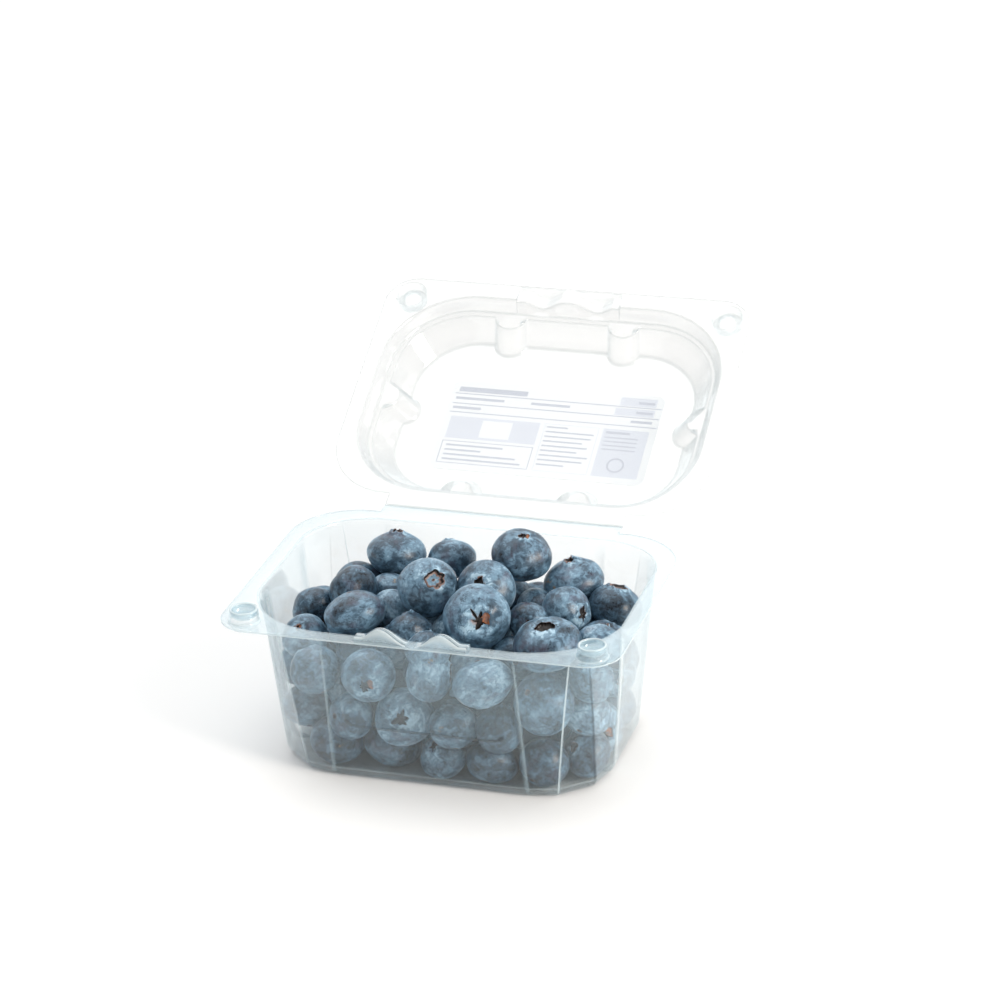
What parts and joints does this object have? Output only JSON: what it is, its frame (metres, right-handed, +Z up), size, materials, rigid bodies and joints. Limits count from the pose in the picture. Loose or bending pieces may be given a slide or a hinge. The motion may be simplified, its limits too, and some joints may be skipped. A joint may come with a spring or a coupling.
{
  "type": "punnet of blueberries",
  "caption": "Clear thermoformed punnet heaped with blueberries, its hinged clear lid held open, with press buttons, latch humps and a paper label on the lid.",
  "frame": {"origin": "middle of the tray's flat underside, midway between its front and back walls and between its ends", "axes": "+Z up, +X along the tray's long side, +Y from the latch side to the hinge side"},
  "size_m": [0.1222, 0.1767, 0.0955],
  "materials": {
    "clear_sheet": "clear formed sheet, glossy, faintly blue-green at its edges",
    "berry_skin": "dark slate-blue fruit skin under an uneven pale bloom",
    "label_paper": "satin paper with pale lavender-grey fields"
  },
  "bodies": {
    "punnet": {"tray": "clear_sheet", "berries": "berry_skin"},
    "lid": {"lid": "clear_sheet", "label": "label_paper"}
  },
  "joints": [
    {"name": "lid_hinge", "type": "hinge", "parent": "punnet", "child": "lid", "pos_m": [0, 0.0487, 0.05215], "axis": [1, 0, 0], "range_deg": [-28, 152]}
  ]
}
